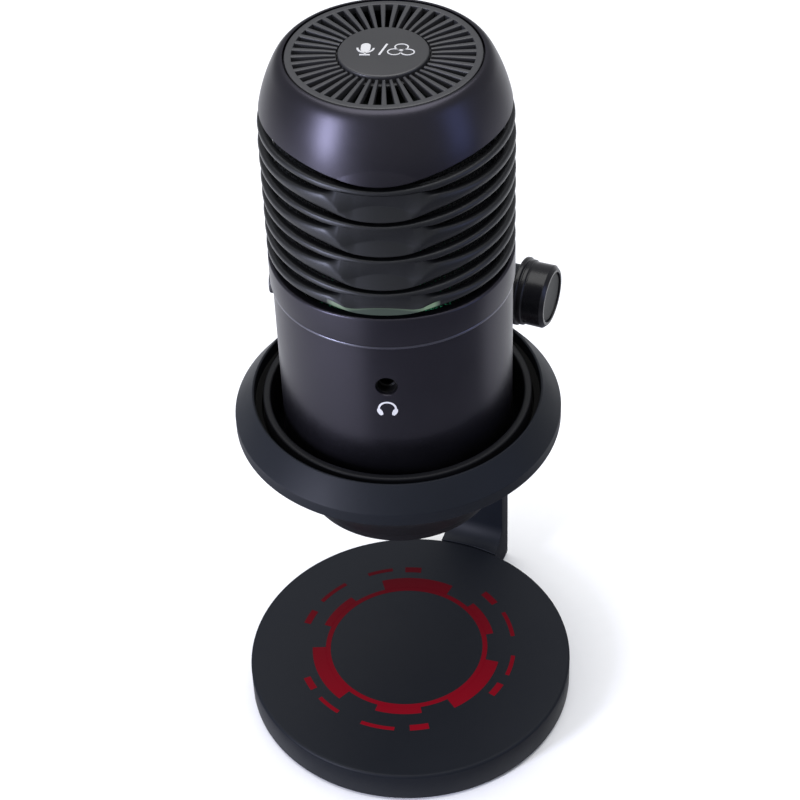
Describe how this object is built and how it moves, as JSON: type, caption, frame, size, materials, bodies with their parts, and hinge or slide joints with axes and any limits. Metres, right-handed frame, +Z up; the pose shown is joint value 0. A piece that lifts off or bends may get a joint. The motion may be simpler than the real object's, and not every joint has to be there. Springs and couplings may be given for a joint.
{
  "type": "desktop microphone",
  "caption": "Desktop microphone with a ribbed round body in a ring-shaped shock mount, on a tilt arm with a clamp knob and a round weighted base.",
  "frame": {"origin": "centre of the round base's underside, on the table", "axes": "+Z up; the microphone's front with the headphone socket faces -Y; +X to the right seen from the front"},
  "size_m": [0.092, 0.1064, 0.215],
  "materials": {
    "stand_paint": "matte powder coat, blue-black",
    "cup_plastic": "moulded, satin",
    "body_paint": "satin anthracite with a violet sheen",
    "seam_metal": "satin edge",
    "top_plastic": "moulded, satin",
    "button_plastic": "moulded, fine grain",
    "knob_plastic": "moulded, satin",
    "knob_cap": "gloss disc",
    "mesh_metal": "black wire mesh",
    "light_guide": "milky translucent",
    "foam": "open cell foam",
    "rubber": "matte",
    "inner_plastic": "moulded",
    "socket_plastic": "moulded",
    "nylon": "plain",
    "board": "black solder mask",
    "steel": "zinc plated",
    "screw_steel": "plain",
    "socket_metal": "nickel plated",
    "brass": "turned"
  },
  "bodies": {
    "stand": {"base_cover": "stand_paint", "base_weight": "steel", "base_plate": "steel", "base_pad": "rubber", "base_screws": "screw_steel", "stand_arm": "stand_paint", "arm_screws": "screw_steel", "hinge_bush": "brass", "friction_washers": "nylon"},
    "microphone": {"shock_ring": "stand_paint", "isolator_ring": "rubber", "cradle_cup": "cup_plastic", "cup_pad": "rubber", "hinge_bolt": "screw_steel", "knob_washer": "screw_steel", "mount_screw": "steel", "threaded_insert": "brass", "bottom_plate": "inner_plastic", "bottom_screws": "screw_steel", "lower_barrel": "body_paint", "seam_ring": "seam_metal", "grille_shell": "body_paint", "top_grille": "top_plastic", "inner_mesh": "mesh_metal", "light_ring": "light_guide", "light_board": "board", "pop_foam": "foam", "capsule_frame": "inner_plastic", "capsule_cups": "rubber", "capsules": "brass", "chassis": "inner_plastic", "main_board": "board", "headphone_socket": "socket_plastic", "usb_board": "board", "usb_socket": "socket_metal", "side_switch": "socket_plastic", "top_board": "board", "mode_switch": "socket_plastic"},
    "knob": {"clamp_knob": "knob_plastic", "knob_nut": "brass", "knob_cap": "knob_cap"},
    "mode_button": {"mode_button": "button_plastic"},
    "side_button": {"side_button": "button_plastic"}
  },
  "joints": [
    {"name": "tilt", "type": "hinge", "parent": "stand", "child": "microphone", "pos_m": [0.02232, 0.04907, 0.1067], "axis": [0.9171, -0.3987, 0], "range_deg": [-35, 40]},
    {"name": "knob_turn", "type": "hinge", "parent": "microphone", "child": "knob", "pos_m": [0.02232, 0.04907, 0.1067], "axis": [0.9171, -0.3987, 0], "continuous": true},
    {"name": "mode_press", "type": "slide", "parent": "microphone", "child": "mode_button", "axis": [0, 0, -1], "range_m": [0, 0.0005], "stiffness_N_per_m": 600, "springref_m": -0.0005},
    {"name": "side_press", "type": "slide", "parent": "microphone", "child": "side_button", "axis": [0.9962, -0.0872, 0], "range_m": [0, 0.0008], "stiffness_N_per_m": 400, "springref_m": -0.0005}
  ]
}
